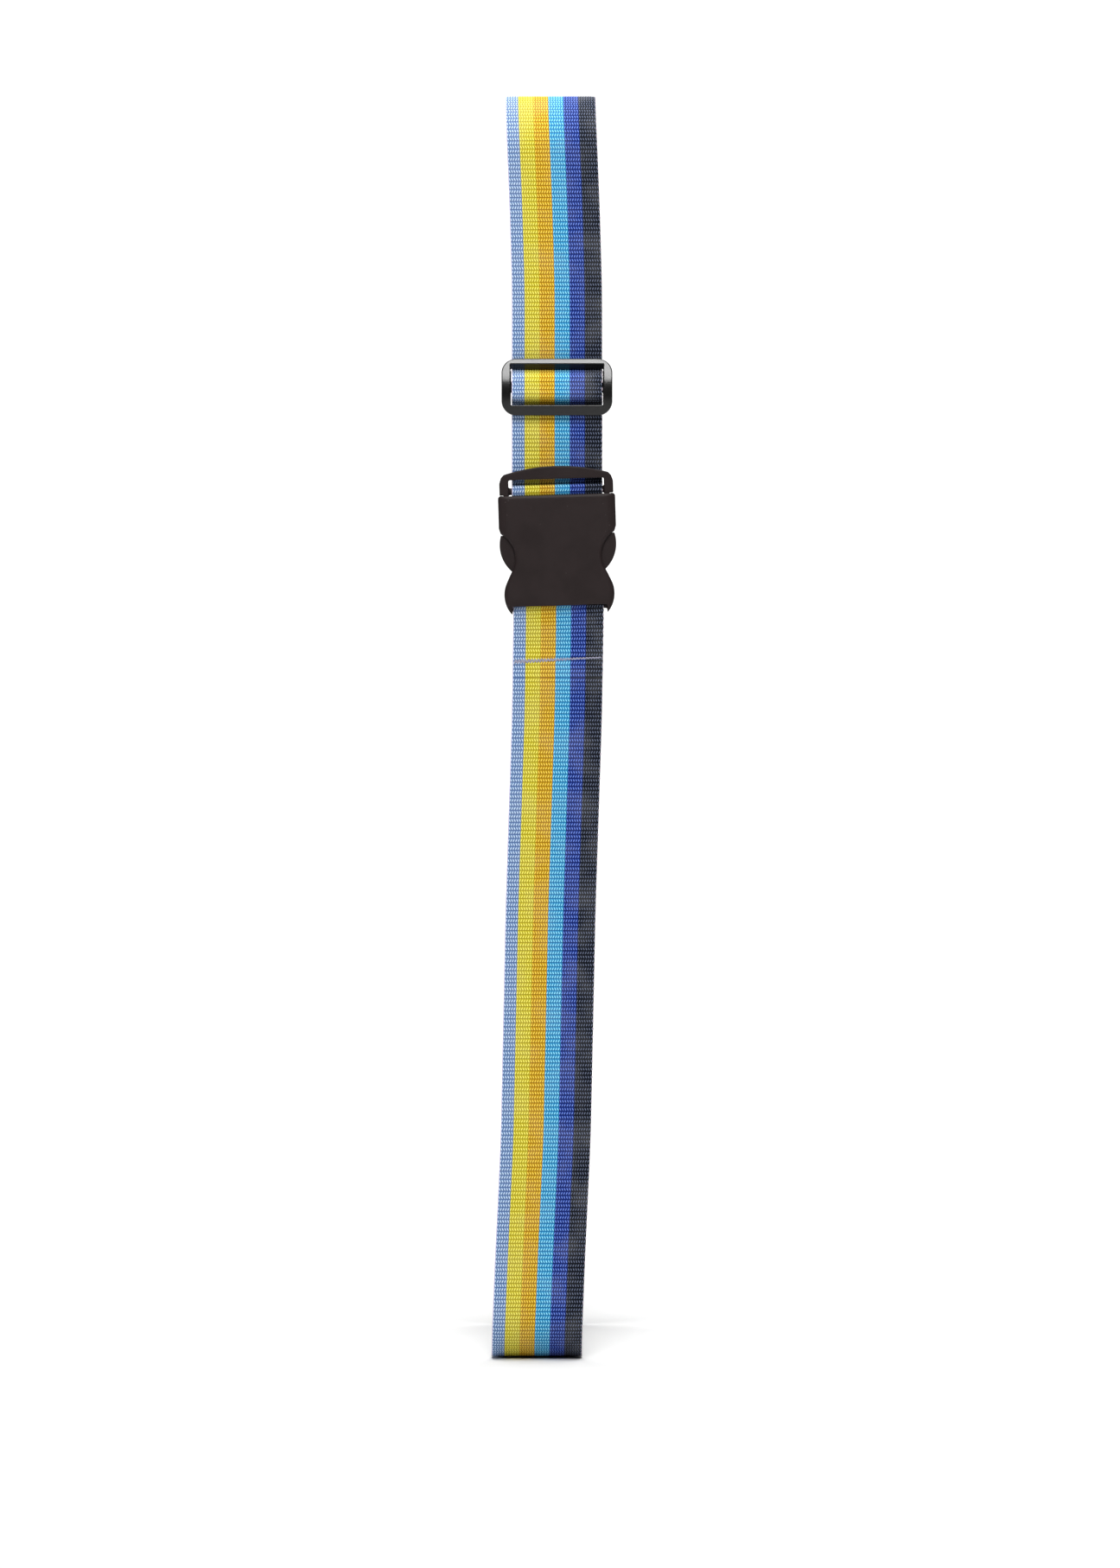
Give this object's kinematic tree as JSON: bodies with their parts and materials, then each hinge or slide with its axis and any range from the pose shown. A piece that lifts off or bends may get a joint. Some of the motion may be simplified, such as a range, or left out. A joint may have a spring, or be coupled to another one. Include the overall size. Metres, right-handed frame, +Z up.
{
  "type": "luggage strap",
  "caption": "Striped webbing strap worn as a loop round a suitcase, closed by a side-release buckle and shortened by a tri-glide slider.",
  "frame": {"origin": "middle of the underside of the top run, where the strap rests on top of the case", "axes": "+Z up, -Y out of the front of the loop where the buckle and slider are, +X to the right as the front is seen"},
  "size_m": [0.0691, 0.3145, 0.6998],
  "materials": {
    "webbing": "striped woven polyester webbing: periwinkle, yellow, amber, sky blue, royal blue and charcoal",
    "buckle_plastic": "fine-grained black moulded plastic",
    "slider_plastic": "satin black moulded plastic",
    "thread": "grey-lilac sewing thread"
  },
  "bodies": {
    "strap": {"webbing_top_run": "webbing", "webbing_bottom_run": "webbing", "webbing_back_run": "webbing", "webbing_corner_top_front": "webbing", "webbing_corner_top_back": "webbing", "webbing_corner_bottom_back": "webbing", "webbing_corner_bottom_front": "webbing", "webbing_front_upper": "webbing", "webbing_front_lower": "webbing", "webbing_adjuster_front": "webbing", "webbing_adjuster_back": "webbing", "webbing_plug_turn": "webbing", "buckle_plug": "buckle_plastic"},
    "socket": {"buckle_socket": "buckle_plastic", "webbing_socket_loop": "webbing", "seam_thread_socket": "thread"},
    "prong_left": {"prong_left": "buckle_plastic"},
    "prong_right": {"prong_right": "buckle_plastic"},
    "slider": {"slider_frame": "slider_plastic", "webbing_slider_pass": "webbing", "webbing_slider_end": "webbing", "seam_thread_slider": "thread"}
  },
  "joints": [
    {"name": "socket_release", "type": "slide", "parent": "strap", "child": "socket", "axis": [0.0305, 0, -0.9995], "range_m": [0, 0.045], "deforming": ["webbing_front_lower", "prong_left", "prong_right"]},
    {"name": "prong_left_press", "type": "hinge", "parent": "strap", "child": "prong_left", "pos_m": [-0.02167, -0.1567, -0.22877], "axis": [0, -1, 0], "range_deg": [0, 11], "stiffness_Nm_per_rad": 0.4},
    {"name": "prong_right_press", "type": "hinge", "parent": "strap", "child": "prong_right", "pos_m": [0.0217, -0.1567, -0.22745], "axis": [0, 1, 0], "range_deg": [0, 11], "stiffness_Nm_per_rad": 0.4},
    {"name": "slider_adjust", "type": "slide", "parent": "strap", "child": "slider", "axis": [0, 0, 1], "range_m": [-0.018, 0.08], "deforming": ["webbing_adjuster_front", "webbing_slider_end"]}
  ]
}
